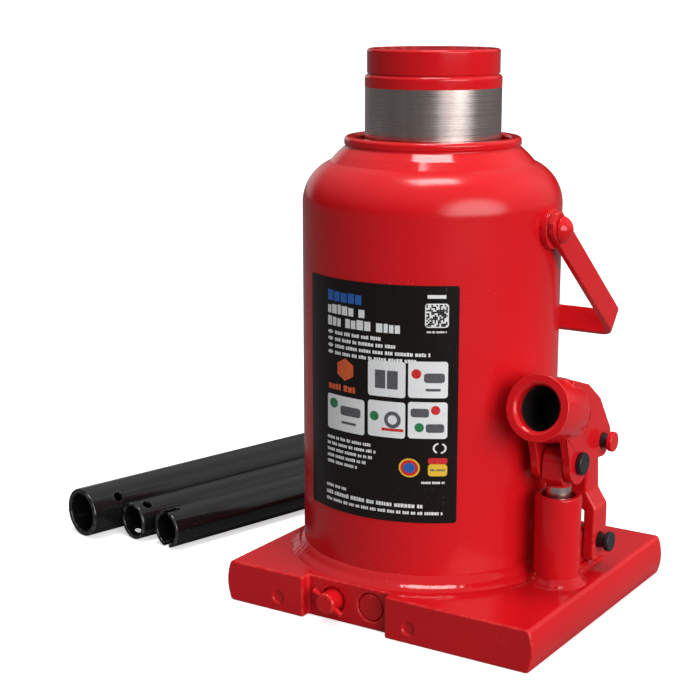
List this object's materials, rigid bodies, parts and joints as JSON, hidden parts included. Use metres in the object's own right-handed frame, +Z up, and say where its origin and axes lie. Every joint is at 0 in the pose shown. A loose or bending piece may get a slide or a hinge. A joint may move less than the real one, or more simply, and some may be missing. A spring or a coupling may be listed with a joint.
{
  "type": "bottle jack",
  "caption": "Squat welded hydraulic bottle jack with a lifting ram, side pump and handle socket, release valve, hinged carry handle and loose handle tubes.",
  "frame": {"origin": "on the floor, under the axis of the ram", "axes": "+Z up along the ram, +X towards the pump, -Y towards the release valve"},
  "size_m": [0.2959, 0.2878, 0.26],
  "materials": {
    "red_paint": "gloss enamel",
    "polished_steel": "ground and polished",
    "machined_steel": "machined, oiled",
    "bronze": "sintered",
    "seal_rubber": "matt",
    "nylon": "satin",
    "ball_steel": "polished",
    "spring_steel": "drawn",
    "filter_mesh": "woven wire",
    "black_oxide": "black oxide, satin",
    "label_film": "printed film",
    "black_enamel": "gloss enamel"
  },
  "bodies": {
    "jack": {"base_plate": "red_paint", "left_gallery_ball": "ball_steel", "right_gallery_ball": "ball_steel", "suction_ball": "ball_steel", "delivery_ball": "ball_steel", "delivery_spring": "spring_steel", "suction_filter": "filter_mesh", "reservoir_casing": "red_paint", "filler_plug": "seal_rubber", "neck_collar": "red_paint", "hydraulic_cylinder": "machined_steel", "cylinder_gasket": "nylon", "gland_nut": "machined_steel", "guide_bush": "bronze", "wiper_seal": "seal_rubber", "gland_oring": "seal_rubber", "casing_weld": "red_paint", "pump_weld": "red_paint", "lug_weld": "red_paint", "pump_cylinder": "red_paint", "pump_lip_seal": "seal_rubber", "pump_guide_ring": "bronze", "link_lug": "red_paint", "right_pivot_boss": "red_paint", "right_pivot_rivet": "red_paint", "left_pivot_boss": "red_paint", "left_pivot_rivet": "red_paint", "release_ball": "ball_steel", "relief_plug": "red_paint", "relief_ball": "ball_steel", "relief_spring": "spring_steel", "data_label": "label_film"},
    "ram": {"ram": "polished_steel", "ram_piston": "machined_steel", "piston_guide_ring": "bronze", "piston_lip_seal": "seal_rubber", "saddle": "red_paint"},
    "plunger": {"pump_plunger": "polished_steel"},
    "link": {"pump_link": "red_paint", "foot_pin": "black_oxide", "foot_pin_clip": "black_oxide"},
    "lever": {"handle_socket": "red_paint", "plunger_pin": "black_oxide", "plunger_pin_clip": "black_oxide", "link_pin": "black_oxide", "link_pin_clip": "black_oxide"},
    "valve_seal": {"release_oring": "seal_rubber"},
    "valve_screw": {"release_screw": "red_paint", "release_cross_pin": "red_paint"},
    "bail": {"carry_handle": "red_paint"},
    "joining_tube": {"joining_tube": "black_enamel"},
    "grip_tube": {"grip_tube": "black_enamel"},
    "key_tube": {"key_tube": "black_enamel"}
  },
  "joints": [
    {"name": "ram_lift", "type": "slide", "parent": "jack", "child": "ram", "axis": [0, 0, 1], "range_m": [0, 0.16]},
    {"name": "link_sway", "type": "hinge", "parent": "jack", "child": "link", "pos_m": [0.0748, 0.0141, 0.0338], "axis": [1, 0, 0], "range_deg": [-1, 1]},
    {"name": "lever_stroke", "type": "hinge", "parent": "link", "child": "lever", "pos_m": [0.0748, 0.0135, 0.0826], "axis": [1, 0, 0], "range_deg": [-30, 12]},
    {"name": "plunger_stroke", "type": "slide", "parent": "jack", "child": "plunger", "axis": [0, 0, 1], "range_m": [-0.006, 0.014]},
    {"name": "valve_travel", "type": "slide", "parent": "jack", "child": "valve_seal", "axis": [0, -1, 0], "range_m": [0, 0.0016]},
    {"name": "valve_turn", "type": "hinge", "parent": "valve_seal", "child": "valve_screw", "pos_m": [-0.0119, -0.0675, 0.0102], "axis": [0, -1, 0], "range_deg": [0, 360]},
    {"name": "bail_swing", "type": "hinge", "parent": "jack", "child": "bail", "pos_m": [0, 0, 0.181], "axis": [1, 0, 0], "range_deg": [0, 100]},
    {"name": "joining_tube_lift", "type": "slide", "parent": "jack", "child": "joining_tube", "axis": [0, 0, 1], "range_m": [0, 0.2]},
    {"name": "grip_tube_lift", "type": "slide", "parent": "jack", "child": "grip_tube", "axis": [0, 0, 1], "range_m": [0, 0.2]},
    {"name": "key_tube_lift", "type": "slide", "parent": "jack", "child": "key_tube", "axis": [0, 0, 1], "range_m": [0, 0.2]}
  ],
  "couplings": [
    {"joint": "link_sway", "follows": "lever_stroke", "ratio": 0.02},
    {"joint": "plunger_stroke", "follows": "lever_stroke", "m_per_rad": -0.0251},
    {"joint": "valve_travel", "follows": "valve_turn", "m_per_rad": 0.000239}
  ]
}
